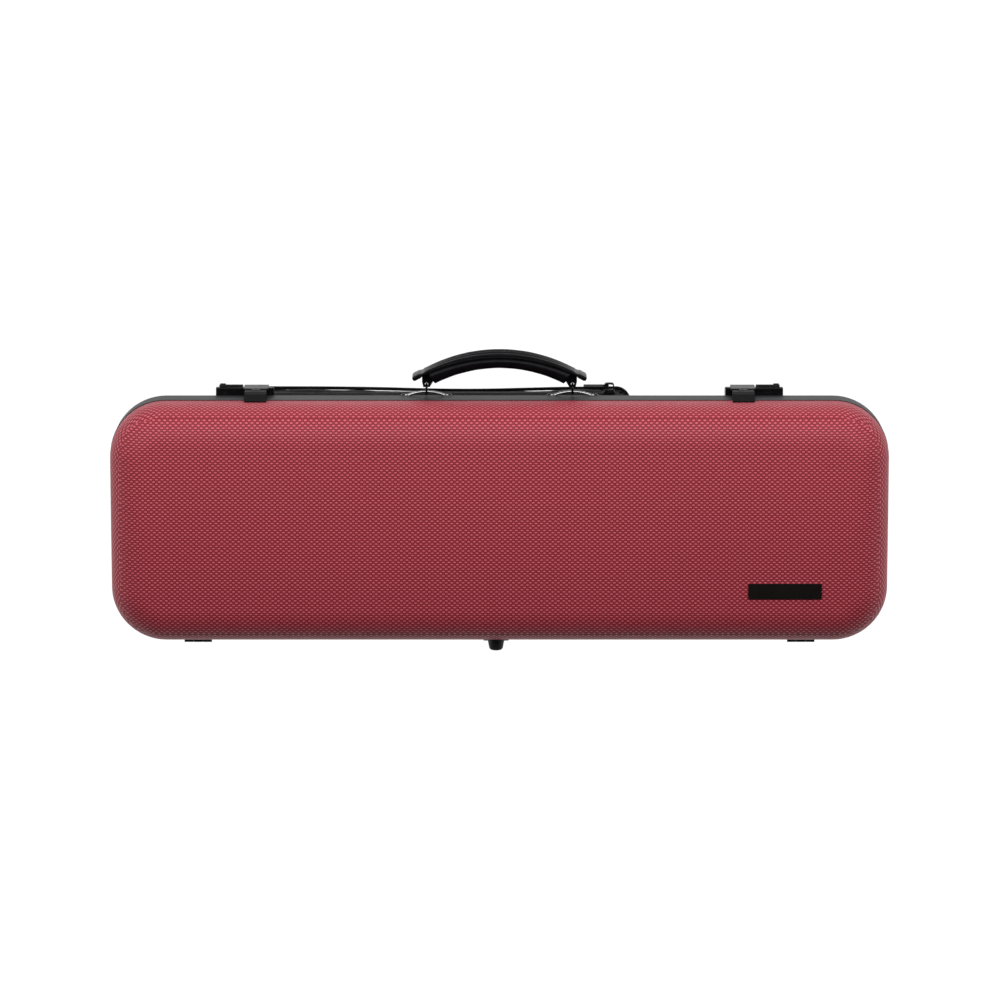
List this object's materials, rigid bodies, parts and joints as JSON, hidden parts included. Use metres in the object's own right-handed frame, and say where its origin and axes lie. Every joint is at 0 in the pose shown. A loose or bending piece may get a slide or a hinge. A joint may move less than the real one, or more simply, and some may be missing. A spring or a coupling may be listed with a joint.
{
  "type": "violin case",
  "caption": "Oblong hard-shell violin case with textured lid, fitted plush interior, slide-release draw latches, padded arched handle and a zipped music pocket.",
  "frame": {"origin": "middle of the case's length and width, on the outside of the music pocket that the case lies on", "axes": "+Z out of the lid, +Y towards the carrying handle, +X along the length with the handle side at the back"},
  "size_m": [0.7812, 0.3007, 0.158],
  "materials": {
    "lid_shell": "satin, small raised basket-like texture",
    "base_abs": "satin black, fine grain",
    "frame_rubber": "matte dark grey",
    "seal_rubber": "matte black",
    "plush": "short-pile plush",
    "strap_web": "woven webbing",
    "pocket_fabric": "plain woven nylon",
    "zip_teeth": "moulded coil",
    "zip_metal": "black enamel",
    "foot_rubber": "matte black",
    "hinge_metal": "black enamel",
    "bail_steel": "polished",
    "pin_steel": "bright",
    "latch_metal": "black enamel, worn edges",
    "label_plastic": "semi-gloss black",
    "clip_plastic": "black",
    "handle_leather": "grained black"
  },
  "bodies": {
    "base": {"base_shell": "base_abs", "frame_band": "frame_rubber", "seal_lip": "seal_rubber", "base_lining": "plush", "back_pillow": "plush", "neck_pillow": "plush", "neck_strap": "strap_web", "music_pocket": "pocket_fabric", "zip_chain": "zip_teeth", "base_feet": "foot_rubber", "hinge_leaves_base": "hinge_metal", "hinge_pins": "hinge_metal", "hinge_rivets_base": "hinge_metal", "bail_left": "bail_steel", "bail_right": "bail_steel", "bail_rivets": "latch_metal", "lock_body_left": "latch_metal", "lock_body_right": "latch_metal", "latch_rivets": "latch_metal"},
    "lid": {"lid_shell": "lid_shell", "lid_lining": "plush", "hinge_leaves_lid": "hinge_metal", "hinge_rivets_lid": "hinge_metal", "hasp_mount_left": "latch_metal", "hasp_mount_right": "latch_metal", "hasp_pin_left": "pin_steel", "hasp_pin_right": "pin_steel", "centre_bumper": "foot_rubber", "label_plate": "label_plastic", "bow_posts": "clip_plastic", "bow_tip_pockets": "plush"},
    "hasp_left": {"hasp_left": "latch_metal"},
    "hasp_right": {"hasp_right": "latch_metal"},
    "slide_left": {"lock_slide_left": "latch_metal"},
    "slide_right": {"lock_slide_right": "latch_metal"},
    "handle": {"handle_strap": "handle_leather", "handle_pad_top": "handle_leather", "handle_pad_bottom": "handle_leather", "handle_lugs": "handle_leather", "handle_links": "latch_metal"},
    "zip_slider": {"zip_slider": "zip_metal"},
    "zip_pull": {"zip_pull": "zip_metal"},
    "box_lid": {"box_lid": "plush", "box_lid_tab": "strap_web"},
    "bow_clip_left": {"bow_clip_left": "clip_plastic"},
    "bow_clip_right": {"bow_clip_right": "clip_plastic"}
  },
  "joints": [
    {"name": "lid_hinge", "type": "hinge", "parent": "base", "child": "lid", "pos_m": [0, -0.1244, 0.1065], "axis": [1, 0, 0], "range_deg": [0, 105]},
    {"name": "hasp_left", "type": "hinge", "parent": "lid", "child": "hasp_left", "pos_m": [-0.2445, 0.1278, 0.098], "axis": [1, 0, 0], "range_deg": [0, 100]},
    {"name": "hasp_right", "type": "hinge", "parent": "lid", "child": "hasp_right", "pos_m": [0.2445, 0.1278, 0.098], "axis": [1, 0, 0], "range_deg": [0, 100]},
    {"name": "lock_slide_left", "type": "slide", "parent": "base", "child": "slide_left", "axis": [-1, 0, 0], "range_m": [0, 0.003], "stiffness_N_per_m": 250, "springref_m": -0.003},
    {"name": "lock_slide_right", "type": "slide", "parent": "base", "child": "slide_right", "axis": [1, 0, 0], "range_m": [0, 0.003], "stiffness_N_per_m": 250, "springref_m": -0.003},
    {"name": "handle_swing", "type": "hinge", "parent": "base", "child": "handle", "pos_m": [0, 0.1254, 0.0815], "axis": [1, 0, 0], "range_deg": [-50, 50]},
    {"name": "zip_slide", "type": "slide", "parent": "base", "child": "zip_slider", "axis": [-1, 0, 0], "range_m": [0, 0.33]},
    {"name": "zip_pull_flip", "type": "hinge", "parent": "zip_slider", "child": "zip_pull", "pos_m": [0.1093, 0.11944, 0.02387], "axis": [0, 0.2334, -0.9724], "range_deg": [0, 90]},
    {"name": "box_lid_hinge", "type": "hinge", "parent": "base", "child": "box_lid", "pos_m": [0.21, 0.0975, 0.0983], "axis": [-1, 0, 0], "range_deg": [0, 25]},
    {"name": "bow_clip_left_turn", "type": "hinge", "parent": "lid", "child": "bow_clip_left", "pos_m": [0.225, -0.045, 0.136], "axis": [0, 0, 1], "range_deg": [0, 90]},
    {"name": "bow_clip_right_turn", "type": "hinge", "parent": "lid", "child": "bow_clip_right", "pos_m": [0.225, 0.045, 0.136], "axis": [0, 0, 1], "range_deg": [0, 90]}
  ]
}
